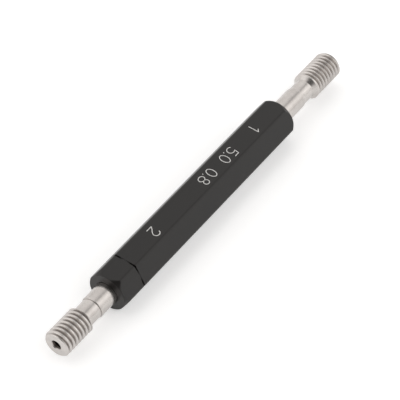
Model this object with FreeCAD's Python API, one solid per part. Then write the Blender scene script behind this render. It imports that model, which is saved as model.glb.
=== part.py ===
import FreeCAD, Part
import math
import os

# Double-ended thread plug gauge, M5 x 0.8, in millimetres.
# The gauge lies on one flat of its hexagonal handle. Its axis runs along X,
# with the GO end at +X and the NO-GO end at -X. z = 0 is the resting flat.

# ---- driving dimensions -------------------------------------------------
ACROSS_FLATS = 6.85         # hexagonal bar of the handle
CORNER_R = 0.5              # drawn corner radius of the bar
HANDLE_LEN = 48.1
END_FACE_R = 3.40           # flat part of each handle end face
END_CHAMFER_LEN = 0.85      # turned chamfer, along the axis, at the corners
GROOVE_FROM_FACE = 4.65     # ring groove marks the NO-GO end
GROOVE_WIDTH = 0.32
GROOVE_FLOOR_R = 3.36       # just under the flats

SEAT_R = 2.01               # taper seat radius at the handle face
TAPER = 1.0 / 50.0          # change of diameter per length
SHANK_IN = 14.0             # shank length held in the handle
SEAT_DEPTH = 14.8           # seat depth before the drill point
MOUTH_BREAK = 0.08          # broken edge at the seat's mouth

GO_OUT = 16.4               # GO member beyond the handle face
GO_MAJOR_R = 2.5            # M5 x 0.8 GO, full profile
GO_THREAD_LEN = 7.25        # from the tip to the rear edge of the thread
GO_REAR_LEN = 0.66          # rear cone of the thread, along the axis
GO_NECK_LEN = 2.05
GO_BLEND_LEN = 1.15         # smooth run from neck to shank

NOGO_OUT = 13.0             # NO-GO member beyond the handle face
NOGO_MAJOR_R = 2.375        # truncated crests
NOGO_THREAD_LEN = 6.13
NOGO_REAR_LEN = 0.36
NOGO_SHANK_OUT = 3.87       # full shank between the handle and the step
NOGO_STEP = 0.06            # broken edge of the step

NECK_R = 1.85
TIP_FACE_R = 2.08
CENTRE_MOUTH_R = 0.95       # 60 degree centre hole in each tip
CENTRE_PILOT_R = 0.66
CENTRE_PILOT_DEPTH = 2.1    # pilot bottom, from the tip face

# ---- placement ----------------------------------------------------------
TOTAL = GO_OUT + HANDLE_LEN + NOGO_OUT
X_NOGO_TIP = -TOTAL / 2.0
X_H0 = X_NOGO_TIP + NOGO_OUT            # handle face at the NO-GO end
X_H1 = X_H0 + HANDLE_LEN                # handle face at the GO end
X_GO_TIP = X_H1 + GO_OUT
AXIS_Z = ACROSS_FLATS / 2.0
V = FreeCAD.Vector


def lathe(points):
    """Closed profile of (x, r) points or ("spline", [(x, r), ...]) turned about X."""
    edges = []
    last = None
    for p in points:
        if p[0] == "spline":
            pts = [V(last[0], 0, last[1])] + [V(x, 0, r) for x, r in p[1]]
            c = Part.BSplineCurve()
            c.interpolate(Points=pts, InitialTangent=V(p[2][0], 0, 0), FinalTangent=V(p[2][1], 0, 0))
            edges.append(c.toShape())
            last = p[1][-1]
        else:
            if last is not None and (abs(last[0] - p[0]) > 1e-9 or abs(last[1] - p[1]) > 1e-9):
                edges.append(Part.makeLine(V(last[0], 0, last[1]), V(p[0], 0, p[1])))
            last = p
    face = Part.Face(Part.Wire(edges))
    solid = face.revolve(V(0, 0, 0), V(1, 0, 0), 360)
    solid.translate(V(0, 0, AXIS_Z))
    if solid.Volume < 0:
        solid.reverse()
    return solid


def seat_radius(depth):
    return SEAT_R - depth * TAPER / 2.0


def save(name, shape):
    assert shape.isValid() and len(shape.Solids) == 1, name
    os.makedirs("parts", exist_ok=True)
    shape.Solids[0].exportStep("parts/%s.step" % name)


# ---- handle -------------------------------------------------------------
corner_r = ACROSS_FLATS / math.sqrt(3.0)
corners = [V(X_H0, corner_r * math.cos(math.radians(60 * k)), AXIS_Z + corner_r * math.sin(math.radians(60 * k)))
           for k in range(6)]
bar = Part.Face(Part.makePolygon(corners + corners[:1])).extrude(V(HANDLE_LEN, 0, 0))
long_edges = [e for e in bar.Edges if abs(e.BoundBox.XLength - HANDLE_LEN) < 1e-6]
bar = bar.makeFillet(CORNER_R, long_edges)

rounded_r = corner_r - CORNER_R * (2.0 / math.sqrt(3.0) - 1.0)
slope = (rounded_r - END_FACE_R) / END_CHAMFER_LEN
run = 0.5 / slope + END_CHAMFER_LEN
big_r = END_FACE_R + run * slope
gx0 = X_H0 + GROOVE_FROM_FACE - GROOVE_WIDTH / 2.0
gx1 = gx0 + GROOVE_WIDTH
envelope = lathe([(X_H0, 0.0), (X_H0, END_FACE_R), (X_H0 + run, big_r),
                  (gx0, big_r), (gx0, GROOVE_FLOOR_R), (gx1, GROOVE_FLOOR_R), (gx1, big_r),
                  (X_H1 - run, big_r), (X_H1, END_FACE_R), (X_H1, 0.0), (X_H0, 0.0)])
handle = bar.common(envelope)


def seat(face_x, inward):
    """Blind taper seat with a drill point; inward is +1 or -1 along X."""
    tip = seat_radius(SEAT_DEPTH)
    e = 0.2
    return lathe([(face_x - inward * e, 0.0),
                  (face_x - inward * e, SEAT_R + MOUTH_BREAK + e),
                  (face_x + inward * MOUTH_BREAK, seat_radius(MOUTH_BREAK)),
                  (face_x + inward * SEAT_DEPTH, tip),
                  (face_x + inward * (SEAT_DEPTH + tip * math.tan(math.radians(31))), 0.0),
                  (face_x - inward * e, 0.0)])


handle = handle.cut(seat(X_H0, 1)).cut(seat(X_H1, -1)).removeSplitter()
save("handle", handle)


# ---- gauging members ----------------------------------------------------
def centre_hole(tip_x, inward):
    cone = (CENTRE_MOUTH_R - CENTRE_PILOT_R) / math.tan(math.radians(30))
    e = 0.2
    return lathe([(tip_x - inward * e, 0.0),
                  (tip_x - inward * e, CENTRE_MOUTH_R + e * math.tan(math.radians(30))),
                  (tip_x + inward * cone, CENTRE_PILOT_R),
                  (tip_x + inward * CENTRE_PILOT_DEPTH, CENTRE_PILOT_R),
                  (tip_x + inward * (CENTRE_PILOT_DEPTH + CENTRE_PILOT_R * math.tan(math.radians(31))), 0.0),
                  (tip_x - inward * e, 0.0)])


def seated_shank(face_x, inward):
    """Profile points of the shank inside the handle, from the face to its end."""
    end = face_x + inward * SHANK_IN
    return [(face_x, SEAT_R),
            (end - inward * 0.3, seat_radius(SHANK_IN - 0.3)),
            (end, seat_radius(SHANK_IN) - 0.3),
            (end, 0.0)]


# GO member: tip chamfer, full thread envelope, rear cone, neck, smooth run to the shank
x = X_GO_TIP
rear = x - GO_THREAD_LEN
neck0 = rear - GO_REAR_LEN
neck1 = neck0 - GO_NECK_LEN
sh = neck1 - GO_BLEND_LEN
mid_r = (NECK_R + SEAT_R) / 2.0
go = lathe([(x, 0.0), (x, TIP_FACE_R), (x - (GO_MAJOR_R - TIP_FACE_R), GO_MAJOR_R),
            (rear, GO_MAJOR_R), (neck0, NECK_R), (neck1, NECK_R),
            ("spline", [((neck1 + sh) / 2.0, mid_r), (sh, SEAT_R)], (-1, -1))]
           + seated_shank(X_H1, -1) + [(x, 0.0)])
go = go.cut(centre_hole(X_GO_TIP, -1))
save("go_member", go)

# NO-GO member: shorter thread with truncated crests, neck, step, full shank
x = X_NOGO_TIP
rear = x + NOGO_THREAD_LEN
step = X_H0 - NOGO_SHANK_OUT
nogo = lathe([(x, 0.0), (x, TIP_FACE_R), (x + (NOGO_MAJOR_R - TIP_FACE_R), NOGO_MAJOR_R),
              (rear, NOGO_MAJOR_R), (rear + NOGO_REAR_LEN, NECK_R), (step, NECK_R),
              (step, SEAT_R - NOGO_STEP), (step + NOGO_STEP, SEAT_R)]
             + seated_shank(X_H0, 1) + [(x, 0.0)])
nogo = nogo.cut(centre_hole(X_NOGO_TIP, 1))
save("no_go_member", nogo)
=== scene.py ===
import bpy
import math
import numpy as np
from mathutils import Matrix, Vector


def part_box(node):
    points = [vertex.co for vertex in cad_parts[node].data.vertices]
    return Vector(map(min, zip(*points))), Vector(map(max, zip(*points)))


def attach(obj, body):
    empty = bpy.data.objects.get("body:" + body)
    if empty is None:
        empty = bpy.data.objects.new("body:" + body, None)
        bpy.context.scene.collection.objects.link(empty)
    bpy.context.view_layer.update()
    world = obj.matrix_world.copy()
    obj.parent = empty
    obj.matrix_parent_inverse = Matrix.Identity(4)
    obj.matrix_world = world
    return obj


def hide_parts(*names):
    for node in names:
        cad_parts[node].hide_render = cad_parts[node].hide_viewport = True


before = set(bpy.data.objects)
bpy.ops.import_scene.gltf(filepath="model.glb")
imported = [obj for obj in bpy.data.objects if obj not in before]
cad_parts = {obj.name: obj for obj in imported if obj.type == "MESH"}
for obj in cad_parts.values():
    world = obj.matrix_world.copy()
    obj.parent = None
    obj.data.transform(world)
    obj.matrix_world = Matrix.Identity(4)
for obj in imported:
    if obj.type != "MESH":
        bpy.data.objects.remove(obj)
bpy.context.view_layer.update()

MM = 0.001
lo_h, hi_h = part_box("handle")
lo_g, hi_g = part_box("go_member")
lo_n, hi_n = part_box("no_go_member")
AXIS_Z = (lo_h[2] + hi_h[2]) / 2 / MM          # gauge axis height, mm
AF = (hi_h[2] - lo_h[2]) / MM                  # across flats
XH0, XH1 = lo_h[0] / MM, hi_h[0] / MM          # handle faces
X_GO = hi_g[0] / MM                            # GO tip
X_NG = lo_n[0] / MM                            # NO-GO tip
XC = (XH0 + XH1) / 2

CORNER_R = 0.5
ROUND_R = AF / math.sqrt(3) - CORNER_R * (2 / math.sqrt(3) - 1)
END_FACE_R = 3.40
END_CHAMFER_LEN = 0.85
GROOVE_X = XH0 + 4.65
GROOVE_W = 0.32
GROOVE_R = 3.36
SEAT_R = 2.01
MOUTH = 0.08                                   # countersink at the seat mouth
NECK_R = 1.85
TIP_R = 2.08
PITCH = 0.8


# ---------------------------------------------------------------- mesh tools
def smin(a, b, k):
    """Smaller of two radii with a rounded join about k wide."""
    h = np.clip(0.5 + 0.5 * (b - a) / k, 0, 1)
    return b * (1 - h) + a * h - k * h * (1 - h)


def smax(a, b, k):
    return -smin(-a, -b, k)


def grid_mesh(name, X, Y, Z, cap0, cap1, painted_shade=None):
    """Closed skin of revolution: rows along the profile, columns round the axis, a pole at each end."""
    rows, cols = X.shape
    verts = np.stack([X, Y, Z], -1).reshape(-1, 3)
    verts = np.vstack([verts, [cap0], [cap1]]) * MM
    i = np.arange(rows - 1)[:, None]
    j = np.arange(cols)[None, :]
    jn = (j + 1) % cols
    quads = np.stack([i * cols + j, i * cols + jn, (i + 1) * cols + jn, (i + 1) * cols + j], -1).reshape(-1, 4)
    n = rows * cols
    jj = np.arange(cols)
    t0 = np.stack([np.full(cols, n), (jj + 1) % cols, jj], -1)
    base = (rows - 1) * cols
    t1 = np.stack([np.full(cols, n + 1), base + jj, base + (jj + 1) % cols], -1)
    faces = [tuple(int(v) for v in q) for q in quads] + [tuple(int(v) for v in t) for t in np.vstack([t0, t1])]
    me = bpy.data.meshes.new(name)
    me.from_pydata([tuple(v) for v in verts], [], faces)
    me.validate()
    me.update()
    me.polygons.foreach_set("use_smooth", [True] * len(me.polygons))
    # outward facing
    vol = 0.0
    co = np.array(verts)
    for f in faces[:: max(1, len(faces) // 4000)]:
        a, b, c = co[f[0]], co[f[1]], co[f[2]]
        vol += float(np.dot(a - np.array([co[:, 0].mean(), 0, AXIS_Z * MM]), np.cross(b - a, c - a)))
    if vol < 0:
        me.flip_normals()
    # per-vertex painted shade mask: how far the steel colour is darkened in recesses
    at = me.attributes.new("painted_shade", "FLOAT", "POINT")
    vals = np.zeros(len(verts)) if painted_shade is None else np.append(painted_shade.reshape(-1), [painted_shade[0].mean(), painted_shade[-1].mean()])
    at.data.foreach_set("value", vals.astype(np.float32))
    ob = bpy.data.objects.new(name, me)
    bpy.context.scene.collection.objects.link(ob)
    return ob


def refine(points, step):
    """Profile points (x, r) subdivided so that no segment is longer than step(x)."""
    out = [points[0]]
    for a, b in zip(points[:-1], points[1:]):
        L = math.hypot(b[0] - a[0], b[1] - a[1])
        s = step((a[0] + b[0]) / 2) if callable(step) else step
        n = max(1, int(math.ceil(L / s)))
        for k in range(1, n + 1):
            t = k / n
            out.append((a[0] + (b[0] - a[0]) * t, a[1] + (b[1] - a[1]) * t))
    return out


def arc(cx, cr, rad, a0, a1, n):
    return [(cx + rad * math.cos(math.radians(a0 + (a1 - a0) * k / n)),
             cr + rad * math.sin(math.radians(a0 + (a1 - a0) * k / n))) for k in range(n + 1)]


# ---------------------------------------------------------------- handle
def hex_radius(theta):
    """Radius of the rounded hexagon at angle theta from the +Y corner."""
    t = np.mod(theta + math.pi / 6, math.pi / 3) - math.pi / 6      # 0 at a corner, +-30 deg at flats
    ta = np.abs(t)
    flat = AF / 2 / np.cos(math.pi / 6 - ta)
    c = (AF / 2 - CORNER_R) / math.cos(math.pi / 6)
    disc = np.maximum(CORNER_R ** 2 - (c * np.sin(ta)) ** 2, 0)
    rnd = c * np.cos(ta) + np.sqrt(disc)
    # the fillet meets the flat where the radial line of the fillet centre turns 30 degrees
    ang_t = math.atan2(CORNER_R * math.sin(math.pi / 6), c + CORNER_R * math.cos(math.pi / 6))
    return np.where(ta <= ang_t, rnd, flat)


def build_handle():
    cols = 6 * 40
    # columns: dense over the corners, sparse over the flats
    one = np.concatenate([np.linspace(-30, -6, 13), np.linspace(-5, 5, 15), np.linspace(6, 30, 13)])[:-1]
    one = np.radians(one)
    theta = np.concatenate([one + k * math.pi / 3 for k in range(6)])
    theta = np.sort(np.mod(theta, 2 * math.pi))
    HR = hex_radius(theta)

    def ends(x):
        """Turned envelope radius along the handle."""
        slope = (ROUND_R - END_FACE_R) / END_CHAMFER_LEN
        return np.minimum(END_FACE_R + slope * (x - XH0), END_FACE_R + slope * (XH1 - x))

    def groove(x):
        d = np.abs(x - GROOVE_X)
        wall = GROOVE_W / 2
        g = np.clip((d - wall + 0.03) / 0.06, 0, 1)
        g = g * g * (3 - 2 * g)
        return GROOVE_R + g * (ROUND_R + 0.3 - GROOVE_R)

    e = 0.05                                               # broken edge between end face and chamfer
    xs = np.concatenate([
        XH0 + e + np.linspace(0, 1, 26) ** 1.2 * 1.25,
        np.linspace(XH0 + 1.4, GROOVE_X - 0.32, 16)[1:],
        np.linspace(GROOVE_X - 0.30, GROOVE_X + 0.30, 49),
        np.linspace(GROOVE_X + 0.32, XH1 - 1.4, 90),
        XH1 - e - np.linspace(1, 0, 26) ** 1.2 * 1.25,
    ])
    xs = np.unique(np.round(xs, 6))
    rows_x, rows_r = [], []
    one_r = np.ones_like(theta)

    def ring(x, r):
        rows_x.append(np.full_like(theta, x)); rows_r.append(one_r * r)

    def seat_r(d):
        return SEAT_R - d / 100.0

    # near seat, from the drill point out to the mouth
    depth = 14.8
    for k in (0.35, 0.7, 0.95):
        ring(XH0 + depth + seat_r(depth) * math.tan(math.radians(31)) * (1 - k), seat_r(depth) * k)
    mouth = [(MOUTH + 0.06, seat_r(MOUTH)), (MOUTH + 0.01, seat_r(MOUTH) + 0.002), (MOUTH - 0.01, SEAT_R + 0.012), (MOUTH * 0.5, SEAT_R + MOUTH * 0.5),
             (0.012, SEAT_R + MOUTH - 0.012), (0.003, SEAT_R + MOUTH + 0.002), (0.0, SEAT_R + MOUTH + 0.02)]
    face_r = (2.25, 2.42, 2.6, 2.8, 3.0, 3.15, END_FACE_R - 0.075, END_FACE_R - 0.045)
    for d in np.linspace(depth, 0.3, 12):
        ring(XH0 + d, seat_r(d))
    for d, r in mouth:
        ring(XH0 + d, r)
    for r in face_r:
        ring(XH0, r)
    ring(XH0 + 0.006, END_FACE_R - 0.015)
    ring(XH0 + 0.022, END_FACE_R + 0.005)
    for x in xs:
        r = smin(HR, ends(x) * one_r, 0.05)
        r = smin(r, groove(x) * one_r, 0.02)
        rows_x.append(np.full_like(theta, x)); rows_r.append(r)
    ring(XH1 - 0.022, END_FACE_R + 0.005)
    ring(XH1 - 0.006, END_FACE_R - 0.015)
    for r in face_r[::-1]:
        ring(XH1, r)
    for d, r in mouth[::-1]:
        ring(XH1 - d, r)
    for d in np.linspace(0.3, depth, 12):
        ring(XH1 - d, seat_r(d))
    for k in (0.95, 0.7, 0.35):
        ring(XH1 - depth - seat_r(depth) * math.tan(math.radians(31)) * (1 - k), seat_r(depth) * k)

    X = np.array(rows_x); R = np.array(rows_r)
    Y = R * np.cos(theta)[None, :]
    Z = AXIS_Z + R * np.sin(theta)[None, :]
    pt = seat_r(depth) * math.tan(math.radians(31))
    return grid_mesh("hex_handle", X, Y, Z, (XH0 + depth + pt, 0, AXIS_Z), (XH1 - depth - pt, 0, AXIS_Z))


# ---------------------------------------------------------------- thread form
def thread_form(major, crest_flat, root_r, soft):
    """Periodic radius over one pitch (phase 0..1, root at phase 0), with softened crest and root edges."""
    n = 2000
    ph = np.arange(n) / n
    d = np.minimum(ph, 1 - ph) * PITCH                     # distance from the root's centre
    half = PITCH / 2
    flank_start = half - crest_flat / 2                    # from the crest flat inwards
    r = major - np.maximum(flank_start - d, 0) / math.tan(math.radians(30))
    r = np.maximum(r, root_r)
    w = max(3, int(soft / PITCH * n))
    k = np.hanning(2 * w + 1)[1:-1]; k /= k.sum()
    ext = np.concatenate([r[-w:], r, r[:w]])
    r = np.convolve(ext, k, mode="same")[w:-w]
    return ph, r


# the last argument scales the painted shade in the thread roots
def build_member(name, tip, inward, face_x, major, thread_len, root_x, profile, crest_flat, root_r, soft, runout, shade_strength):
    """
    tip: x of the tip face, inward: +1 or -1 direction from tip to handle,
    root_x: x of a root centre at theta_ref, profile: points from the thread's rear edge to the shank end.
    """
    cols = 144
    theta = np.arange(cols) * 2 * math.pi / cols           # angle about +X, from +Y towards +Z
    ph, form = thread_form(major, crest_flat, root_r, soft)
    theta_ref = math.radians(180 - 62.5)                   # the side that faces up and towards -Y
    rows_x, rows_r, rows_shade = [], [], []

    def ring(d, r, recess_shade=0.0):
        rows_x.append(np.full(cols, tip + inward * d)); rows_r.append(np.full(cols, r)); rows_shade.append(np.full(cols, recess_shade))

    # centre hole: pilot floor, pilot wall, 60 degree mouth
    # the centre hole carries full painted shade, fading out up the 60 degree mouth
    ring(2.1 + 0.66 * 0.6 * 0.5, 0.33, 1.0)
    ring(2.1, 0.62, 1.0); ring(2.06, 0.66, 1.0)
    for d in np.linspace(1.9, 0.55, 8): ring(d, 0.66, 1.0)
    ring(0.52, 0.663, 1.0); ring(0.49, 0.672, 1.0)
    for t in np.linspace(0.08, 0.95, 8): ring(0.50 * (1 - t), 0.66 + 0.29 * t, 1.0 if t < 0.6 else 0.5 * (1 - t))
    ring(0.004, 0.955); ring(0.0, 0.975)
    for r in (1.03, 1.1, 1.25, 1.4, 1.55, 1.75, 1.9, TIP_R - 0.12, TIP_R - 0.07, TIP_R - 0.035): ring(0.0, r)
    ring(0.004, TIP_R - 0.012); ring(0.012, TIP_R + 0.005)

    # threaded zone
    step = PITCH / 30
    n = int(round((thread_len - 0.02) / step))
    d0 = np.linspace(0.03, thread_len, n)
    for d in d0:
        x = tip + inward * d
        phase = np.mod((x - root_x) / PITCH - (theta - theta_ref) / (2 * math.pi), 1.0)
        r = np.interp(phase, np.append(ph, 1.0), np.append(form, form[0]))
        # each groove dies out where its centre line comes to the rear edge
        tau = (x - root_x) / PITCH - (theta - theta_ref) / (2 * math.pi)
        xg = root_x + PITCH * (np.round(tau) + (theta - theta_ref) / (2 * math.pi))
        turns = (thread_len - (xg - tip) * inward) / PITCH
        fade = np.clip((turns - runout[0]) / (runout[1] - runout[0]), 0, 1)
        fade = fade * fade * (3 - 2 * fade)
        r = major - (major - r) * fade
        cham = TIP_R + d                                   # 45 degree start
        r = smin(r, np.full(cols, cham), 0.05)
        # painted shade, deepening from 0.10 mm below the crest down into the thread roots
        recess_shade = np.clip((min(major, cham) - r - 0.10) / (major - root_r - 0.10), 0, 1)
        rows_x.append(np.full(cols, x)); rows_r.append(r); rows_shade.append(recess_shade * shade_strength)
    for pt in profile:
        ring(*pt)
    end = (face_x - tip) * inward + 14.0
    X = np.array(rows_x); R = np.array(rows_r)
    Y = R * np.cos(theta)[None, :]
    Z = AXIS_Z + R * np.sin(theta)[None, :]
    return grid_mesh(name, X, Y, Z, (tip + inward * (2.1 + 0.4), 0, AXIS_Z), (tip + inward * end, 0, AXIS_Z), np.array(rows_shade))


def shank_tail(d_face):
    """Shank inside the handle, from its face to the end."""
    pts = []
    for k in np.linspace(0.0, 13.7, 12):
        pts.append((d_face + k, SEAT_R - k / 100.0))
    r = SEAT_R - 0.14
    pts += [(d_face + 13.75, r - 0.02), (d_face + 13.95, r - 0.24), (d_face + 14.0, r - 0.3), (d_face + 14.0, 1.0), (d_face + 14.0, 0.4)]
    return pts


def build_go():
    L = 7.25
    d_face = X_GO - XH1
    pts = refine([(L + 0.03, 2.5 - 0.03), (L + 0.62, NECK_R + 0.045)], 0.05)
    pts = [(L + 0.012, 2.496)] + pts
    pts += [(L + 0.66, NECK_R + 0.016), (L + 0.70, NECK_R + 0.004), (L + 0.76, NECK_R)]
    n0, n1 = L + 0.66 + 2.05, L + 0.66 + 2.05 + 1.15
    for d in np.linspace(L + 0.9, n0, 18): pts.append((d, NECK_R))
    for t in np.linspace(0, 1, 18)[1:]:
        s = t * t * (3 - 2 * t)
        pts.append((n0 + t * 1.15, NECK_R + (SEAT_R - NECK_R) * s))
    for d in np.linspace(n1, d_face, 24)[1:-1]: pts.append((d, SEAT_R))
    pts += shank_tail(d_face)
    return build_member("go_gauge_thread", X_GO, -1, XH1, 2.5, L, XC + 33.88, pts, 0.10, 1.99, 0.035, (0.05, 0.35), 0.28)


def build_nogo():
    L = 6.13
    d_face = XH0 - X_NG
    d_step = d_face - 3.87
    pts = [(L + 0.01, 2.371), (L + 0.03, 2.35)]
    pts += refine([(L + 0.05, 2.325), (L + 0.32, NECK_R + 0.05)], 0.04)
    pts += [(L + 0.35, NECK_R + 0.018), (L + 0.38, NECK_R + 0.004), (L + 0.44, NECK_R)]
    for d in np.linspace(L + 0.5, d_step - 0.1, 16): pts.append((d, NECK_R))
    # painted shade (third value) in the corner of the step from neck to seat
    pts += [(d_step - 0.07, NECK_R - 0.004, 0.1), (d_step - 0.045, NECK_R - 0.02, 0.35), (d_step - 0.008, NECK_R - 0.022, 0.35), (d_step, NECK_R - 0.01, 0.3), (d_step + 0.004, SEAT_R - 0.07, 0.1),
            (d_step + 0.018, SEAT_R - 0.045), (d_step + 0.05, SEAT_R - 0.012), (d_step + 0.075, SEAT_R)]
    for d in np.linspace(d_step + 0.1, d_face, 22)[:-1]: pts.append((d, SEAT_R))
    pts += shank_tail(d_face)
    return build_member("no_go_gauge_thread", X_NG, 1, XH0, 2.375, L, XC - 35.87, pts, 0.227, 1.96, 0.045, (-0.2, 0.1), 0.5)


# ---------------------------------------------------------------- numerals on the top flat
def digit_paths(ch):
    """Single-line numerals in a 0..w by 0..1 cell; baseline at 0, tops at 1."""
    def arc_p(cx, cy, rx, ry, a0, a1, n=14):
        return [(cx + rx * math.cos(math.radians(a0 + (a1 - a0) * k / n)), cy + ry * math.sin(math.radians(a0 + (a1 - a0) * k / n))) for k in range(n + 1)]
    w = 0.62
    if ch == "0":
        return w, [arc_p(w / 2, 0.5, w / 2, 0.5, 90, 450, 36)]
    if ch == "1":
        return 0.32, [[(0.0, 0.78), (0.14, 0.88), (0.25, 1.0), (0.25, 0.5), (0.25, 0.0)]]
    if ch == "2":
        p = arc_p(w / 2, 0.7, w / 2, 0.3, 165, -20, 16)
        return w, [p + [(0.46, 0.42), (0.2, 0.2), (0.03, 0.0)], [(0.03, 0.0), (0.32, 0.0), (w, 0.0)]]
    if ch == "5":
        return w, [[(0.56, 1.0), (0.3, 1.0), (0.1, 1.0), (0.08, 0.8), (0.05, 0.57)] + arc_p(w / 2 - 0.02, 0.32, w / 2 + 0.02, 0.32, 128, -140, 22)]
    if ch == "8":
        return w, [arc_p(w / 2, 0.76, 0.25, 0.24, -90, 270, 26), arc_p(w / 2, 0.26, w / 2, 0.26, 90, 450, 28)]
    if ch == ".":
        return 0.08, [[(0.04, 0.0), (0.04, 0.045)]]
    return 0.4, []


def stroke_mesh(name, strokes, width, top, z0):
    """Flat inlaid strokes with round ends, z0 is the flat's height."""
    verts, faces = [], []
    for path in strokes:
        p = np.array(path, float)
        # resample
        seg = np.hypot(*(p[1:] - p[:-1]).T)
        s = np.concatenate([[0], np.cumsum(seg)])
        n = max(3, int(s[-1] / 0.045))
        t = np.linspace(0, s[-1], n + 1)
        q = np.stack([np.interp(t, s, p[:, 0]), np.interp(t, s, p[:, 1])], -1)
        d = np.gradient(q, axis=0)
        d /= np.maximum(np.hypot(d[:, 0], d[:, 1])[:, None], 1e-9)
        nrm = np.stack([-d[:, 1], d[:, 0]], -1)
        closed = np.hypot(*(q[0] - q[-1])) < 1e-6
        hw = np.full(len(q), width / 2)
        rows = []
        if not closed:
            # round end caps
            caps0 = [(q[0] - d[0] * width / 2 * math.cos(a), nrm[0], width / 2 * math.sin(a)) for a in np.radians([8, 35, 62])]
            caps1 = [(q[-1] + d[-1] * width / 2 * math.cos(a), nrm[-1], width / 2 * math.sin(a)) for a in np.radians([62, 35, 8])]
            rows = caps0 + [(q[k], nrm[k], hw[k]) for k in range(len(q))] + caps1
        else:
            avg = d[0] + d[-1]; avg /= np.hypot(*avg)
            nn = np.array([-avg[1], avg[0]])
            rows = [(q[k], nn if k in (0,) else nrm[k], hw[k]) for k in range(len(q) - 1)]
        base = len(verts)
        m = len(rows)
        for c, nv, h in rows:
            a, b = c + nv * h, c - nv * h
            ai, bi = c + nv * h * 0.6, c - nv * h * 0.6
            verts += [(a[0], a[1], z0 - 0.02), (a[0], a[1], z0 + top * 0.3), (ai[0], ai[1], z0 + top), (bi[0], bi[1], z0 + top), (b[0], b[1], z0 + top * 0.3), (b[0], b[1], z0 - 0.02)]
        for k in range(m if closed else m - 1):
            k1 = (k + 1) % m
            for e in range(6):
                e1 = (e + 1) % 6
                faces.append((base + k * 6 + e, base + k * 6 + e1, base + k1 * 6 + e1, base + k1 * 6 + e))
        if not closed:
            faces.append(tuple(base + e for e in range(6))[::-1])
            faces.append(tuple(base + (m - 1) * 6 + e for e in range(6)))
    me = bpy.data.meshes.new(name)
    me.from_pydata([(x * MM, y * MM, z * MM) for x, y, z in verts], [], faces)
    me.validate(); me.update()
    import bmesh
    bm = bmesh.new(); bm.from_mesh(me)
    bmesh.ops.recalc_face_normals(bm, faces=bm.faces)
    bm.to_mesh(me); bm.free()
    ob = bpy.data.objects.new(name, me)
    bpy.context.scene.collection.objects.link(ob)
    return ob


def numerals(name, text, s_right, height=2.0, y_top=-1.17):
    """Numerals on the top flat; they read from the GO end towards the NO-GO end, tops towards -Y."""
    strokes = []
    cursor = 0.0
    for ch in text:
        w, paths = digit_paths(ch)
        for p in paths:
            # text x runs towards -X, text y (up) runs towards -Y
            strokes.append([(XC + s_right - (cursor + px) * height, y_top + height - py * height) for px, py in p])
        cursor += w + (0.2 if ch != "." else 0.17)
    return stroke_mesh(name, strokes, 0.14, 0.008, AXIS_Z + AF / 2)


# ---------------------------------------------------------------- materials
def new_mat(name):
    m = bpy.data.materials.new(name)
    m.use_nodes = True
    nt = m.node_tree
    for n in list(nt.nodes):
        nt.nodes.remove(n)
    out = nt.nodes.new("ShaderNodeOutputMaterial")
    b = nt.nodes.new("ShaderNodeBsdfPrincipled")
    nt.links.new(b.outputs[0], out.inputs[0])
    return m, nt, b


def N(nt, kind, **inputs):
    n = nt.nodes.new(kind)
    for k, v in inputs.items():
        if hasattr(n, k):
            setattr(n, k, v)
    return n


def ramp(nt, fac, stops):
    n = nt.nodes.new("ShaderNodeValToRGB")
    els = n.color_ramp.elements
    while len(els) > 1:
        els.remove(els[0])
    els[0].position = stops[0][0]; els[0].color = stops[0][1]
    for p, c in stops[1:]:
        e = els.new(p); e.color = c
    nt.links.new(fac, n.inputs[0])
    return n


def mapping(nt, coord, scale):
    m = nt.nodes.new("ShaderNodeMapping")
    m.inputs["Scale"].default_value = scale
    nt.links.new(coord, m.inputs["Vector"])
    return m


def noise(nt, vec, scale, detail=4, rough=0.5):
    n = nt.nodes.new("ShaderNodeTexNoise")
    n.inputs["Scale"].default_value = scale
    n.inputs["Detail"].default_value = detail
    n.inputs["Roughness"].default_value = rough
    nt.links.new(vec, n.inputs["Vector"])
    return n


def math_node(nt, op, a, b=None, c=None, clamp=False):
    n = nt.nodes.new("ShaderNodeMath")
    n.operation = op
    n.use_clamp = clamp
    for k, v in enumerate((a, b, c)):
        if v is None:
            continue
        if isinstance(v, (int, float)):
            n.inputs[k].default_value = v
        else:
            nt.links.new(v, n.inputs[k])
    return n.outputs[0]


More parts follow.
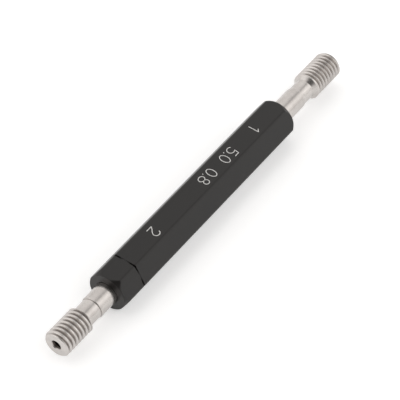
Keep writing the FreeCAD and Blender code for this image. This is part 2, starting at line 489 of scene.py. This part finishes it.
def steel_material():
    """Ground hardened steel: fine rings round the axis, slightly warm; a dark brown painted shade, with raised
    roughness, in the thread roots, centre holes and step corner, from the per-vertex shade mask.
    """
    m, nt, b = new_mat("ground_steel")
    tc = nt.nodes.new("ShaderNodeTexCoord")
    obj = tc.outputs["Object"]
    rings = noise(nt, mapping(nt, obj, (1.0, 0.02, 0.02)).outputs[0], 9000.0, 3, 0.6)
    cloud = noise(nt, mapping(nt, obj, (1.0, 1.0, 1.0)).outputs[0], 420.0, 4, 0.55)
    col = ramp(nt, cloud.outputs["Fac"], [(0.3, (0.50, 0.472, 0.452, 1)), (0.7, (0.60, 0.570, 0.548, 1))])
    # painted shade: the per-vertex shade mask, mottled by the cloud noise, mixes the base colour towards dark brown
    at = nt.nodes.new("ShaderNodeAttribute")
    at.attribute_name = "painted_shade"
    shade_mottle = math_node(nt, "MULTIPLY_ADD", cloud.outputs["Fac"], 0.5, 0.62)
    shade_fac = math_node(nt, "MULTIPLY", at.outputs["Fac"], shade_mottle, clamp=True)
    mix = nt.nodes.new("ShaderNodeMix")
    mix.data_type = "RGBA"
    nt.links.new(shade_fac, mix.inputs[0])
    nt.links.new(col.outputs[0], mix.inputs[6])
    mix.inputs[7].default_value = (0.050, 0.036, 0.028, 1)
    nt.links.new(mix.outputs[2], b.inputs["Base Color"])
    b.inputs["Metallic"].default_value = 1.0
    b.inputs["Anisotropic"].default_value = 0.6
    tan = nt.nodes.new("ShaderNodeTangent")
    tan.direction_type = "RADIAL"
    tan.axis = "X"
    nt.links.new(tan.outputs[0], b.inputs["Tangent"])
    r = nt.nodes.new("ShaderNodeMapRange")
    r.inputs["To Min"].default_value = 0.20
    r.inputs["To Max"].default_value = 0.30
    nt.links.new(rings.outputs["Fac"], r.inputs["Value"])
    rr = math_node(nt, "MULTIPLY_ADD", shade_fac, 0.2, r.outputs[0])
    nt.links.new(rr, b.inputs["Roughness"])
    bump = nt.nodes.new("ShaderNodeBump")
    bump.inputs["Strength"].default_value = 0.25
    bump.inputs["Distance"].default_value = 0.000004
    nt.links.new(rings.outputs["Fac"], bump.inputs["Height"])
    nt.links.new(bump.outputs[0], b.inputs["Normal"])
    return m


def black_material():
    """Satin black oxide over a drawn bar: faint lengthwise drawing marks and cloudy tone."""
    m, nt, b = new_mat("black_oxide")
    tc = nt.nodes.new("ShaderNodeTexCoord")
    obj = tc.outputs["Object"]
    drawn = noise(nt, mapping(nt, obj, (0.03, 1.0, 1.0)).outputs[0], 5200.0, 4, 0.6)
    cloud = noise(nt, mapping(nt, obj, (0.5, 1.0, 1.0)).outputs[0], 260.0, 5, 0.55)
    mix = math_node(nt, "MULTIPLY_ADD", drawn.outputs["Fac"], 0.35, math_node(nt, "MULTIPLY", cloud.outputs["Fac"], 0.65))
    col = ramp(nt, mix, [(0.3, (0.0050, 0.0041, 0.0036, 1)), (0.7, (0.0085, 0.0071, 0.0062, 1))])
    nt.links.new(col.outputs[0], b.inputs["Base Color"])
    r = nt.nodes.new("ShaderNodeMapRange")
    r.inputs["To Min"].default_value = 0.30
    r.inputs["To Max"].default_value = 0.40
    nt.links.new(mix, r.inputs["Value"])
    nt.links.new(r.outputs[0], b.inputs["Roughness"])
    b.inputs["Specular IOR Level"].default_value = 0.42
    bump = nt.nodes.new("ShaderNodeBump")
    bump.inputs["Strength"].default_value = 0.2
    bump.inputs["Distance"].default_value = 0.000006
    nt.links.new(drawn.outputs["Fac"], bump.inputs["Height"])
    nt.links.new(bump.outputs[0], b.inputs["Normal"])
    return m


def mark_material():
    m, nt, b = new_mat("marking_white")
    tc = nt.nodes.new("ShaderNodeTexCoord")
    cl = noise(nt, tc.outputs["Object"], 3800.0, 3, 0.6)
    col = ramp(nt, cl.outputs["Fac"], [(0.35, (0.55, 0.54, 0.53, 1)), (0.65, (0.80, 0.79, 0.78, 1))])
    nt.links.new(col.outputs[0], b.inputs["Base Color"])
    b.inputs["Roughness"].default_value = 0.7
    return m


def floor_material():
    m, nt, b = new_mat("pale_floor")
    tc = nt.nodes.new("ShaderNodeTexCoord")
    cl = noise(nt, tc.outputs["Object"], 6.0, 2, 0.5)
    col = ramp(nt, cl.outputs["Fac"], [(0.3, (0.80, 0.80, 0.80, 1)), (0.7, (0.82, 0.82, 0.82, 1))])
    nt.links.new(col.outputs[0], b.inputs["Base Color"])
    b.inputs["Roughness"].default_value = 0.9
    b.inputs["Specular IOR Level"].default_value = 0.2
    b.inputs["Emission Color"].default_value = (1.0, 1.0, 1.0, 1.0)
    b.inputs["Emission Strength"].default_value = 0.42
    return m


STEEL, BLACK, WHITE = steel_material(), black_material(), mark_material()

handle = build_handle()
go = build_go()
nogo = build_nogo()
for ob, mat, node, slot_name in ((handle, BLACK, "handle", "handle"), (go, STEEL, "go_member", "gauge_steel"), (nogo, STEEL, "no_go_member", "gauge_steel")):
    ob.data.materials.append(mat)
    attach(ob, "root")
    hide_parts(node)
    node_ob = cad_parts[node]
    node_ob.data.materials.clear()
    node_ob.data.materials.append(mat)

for nm, txt, s in (("numeral_one", "1", 16.9), ("numerals_size", "5.0", 10.7), ("numerals_pitch", "0.8", 4.7), ("numeral_two", "2", -11.2)):
    ob = numerals(nm, txt, s)
    ob.data.materials.append(WHITE)
    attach(ob, "root")

# ---------------------------------------------------------------- stage
fm = bpy.data.meshes.new("floor")
S = 1.2
fm.from_pydata([(-S, -S, 0), (S, -S, 0), (S, S, 0), (-S, S, 0)], [], [(0, 1, 2, 3)])
floor = bpy.data.objects.new("floor", fm)
floor.location.z = -0.00002
bpy.context.scene.collection.objects.link(floor)
fm.materials.append(floor_material())

# camera at the viewing angle
AZ, EL, ROLL = -57.0836, 47.9215, 2.9187
DIST, TX, TY, FPX = 330.977, 0.7368, 0.2014, 2027.51
a, e, ro = math.radians(AZ), math.radians(EL), math.radians(ROLL)
back = Vector((math.sin(a) * math.cos(e), -math.cos(a) * math.cos(e), math.sin(e)))
right0 = Vector((0, 0, 1)).cross(back).normalized()
up0 = back.cross(right0)
right = right0 * math.cos(ro) + up0 * math.sin(ro)
up = -right0 * math.sin(ro) + up0 * math.cos(ro)
target = Vector((XC, 0, AXIS_Z))
pos = (target + back * DIST + right * TX + up * TY) * MM
cam_data = bpy.data.cameras.new("camera")
cam_data.sensor_width = 36.0
cam_data.lens = FPX / 400 * 36.0
cam_data.clip_start = 0.005
cam = bpy.data.objects.new("camera", cam_data)
M = Matrix((right, up, back)).transposed().to_4x4()
M.translation = pos
cam.matrix_world = M
bpy.context.scene.collection.objects.link(cam)
bpy.context.scene.camera = cam


def area(name, loc, aim, size, size_y, power, color=(1, 1, 1)):
    d = bpy.data.lights.new(name, "AREA")
    d.shape = "RECTANGLE"; d.size = size; d.size_y = size_y
    d.energy = power; d.color = color
    o = bpy.data.objects.new(name, d)
    o.location = loc
    o.rotation_euler = (Vector(aim) - Vector(loc)).to_track_quat("-Z", "Y").to_euler()
    bpy.context.scene.collection.objects.link(o)
    return o


# studio: a white tent with one long bright softbox on the -Y side and a narrow dark gap overhead
world = bpy.data.worlds.new("studio")
bpy.context.scene.world = world
world.use_nodes = True
wt = world.node_tree
for n in list(wt.nodes):
    wt.nodes.remove(n)
w_out = wt.nodes.new("ShaderNodeOutputWorld")
bg = wt.nodes.new("ShaderNodeBackground")
wt.links.new(bg.outputs[0], w_out.inputs[0])
w_tc = wt.nodes.new("ShaderNodeTexCoord")
w_sep = wt.nodes.new("ShaderNodeSeparateXYZ")
wt.links.new(w_tc.outputs["Generated"], w_sep.inputs[0])
neg_y = math_node(wt, "MULTIPLY", w_sep.outputs["Y"], -1.0)
ang = math_node(wt, "ARCTAN2", neg_y, w_sep.outputs["Z"])          # 0 overhead, + towards -Y
fac = math_node(wt, "MULTIPLY_ADD", ang, 0.5 / math.pi, 0.5)
def at(deg):
    return 0.5 + deg / 360.0
def g(v):
    return (v, v * 0.985, v * 0.97, 1)
w_ramp = ramp(wt, fac, [(0.0, g(1.0)), (at(-99), g(0.97)), (at(-60), g(1.05)), (at(-30), g(1.12)), (at(-12), g(1.0)), (at(0), g(0.90)), (at(5), g(0.38)), (at(10), g(0.38)),
                        (at(15), g(0.85)), (at(25), g(1.22)), (at(34), g(1.42)), (at(45), g(1.55)), (at(54), g(1.48)), (at(64), g(1.25)), (at(80), g(0.98)), (at(95), g(0.93)), (at(130), g(0.95))])
# the viewer's own side of the tent is a soft dark opening
w_nrm = wt.nodes.new("ShaderNodeVectorMath")
w_nrm.operation = "NORMALIZE"
wt.links.new(w_tc.outputs["Generated"], w_nrm.inputs[0])
def toward(x, y, z, lo, hi):
    d = wt.nodes.new("ShaderNodeVectorMath")
    d.operation = "DOT_PRODUCT"
    wt.links.new(w_nrm.outputs[0], d.inputs[0])
    q = math.sqrt(x * x + y * y + z * z)
    d.inputs[1].default_value = (x / q, y / q, z / q)
    m = wt.nodes.new("ShaderNodeMapRange")
    m.interpolation_type = "SMOOTHSTEP"
    m.inputs["From Min"].default_value = lo
    m.inputs["From Max"].default_value = hi
    wt.links.new(d.outputs["Value"], m.inputs["Value"])
    return m.outputs[0]
def w_mix(fac_out, a_out, colour):
    m = wt.nodes.new("ShaderNodeMix")
    m.data_type = "RGBA"
    wt.links.new(fac_out, m.inputs[0])
    wt.links.new(a_out, m.inputs[6])
    m.inputs[7].default_value = colour
    return m.outputs[2]
lobe = w_mix(toward(-0.8, 0.55, 0.2, 0.80, 0.97), w_ramp.outputs[0], g(1.45))
dark = w_mix(toward(-0.5626, -0.3642, 0.7422, 0.788, 0.914), lobe, g(0.09))
wt.links.new(dark, bg.inputs[0])
bg.inputs[1].default_value = 1.0

sc = bpy.context.scene
sc.view_settings.view_transform = "Standard"
sc.view_settings.look = "None"
sc.view_settings.exposure = 0.0
sc.view_settings.gamma = 1.0
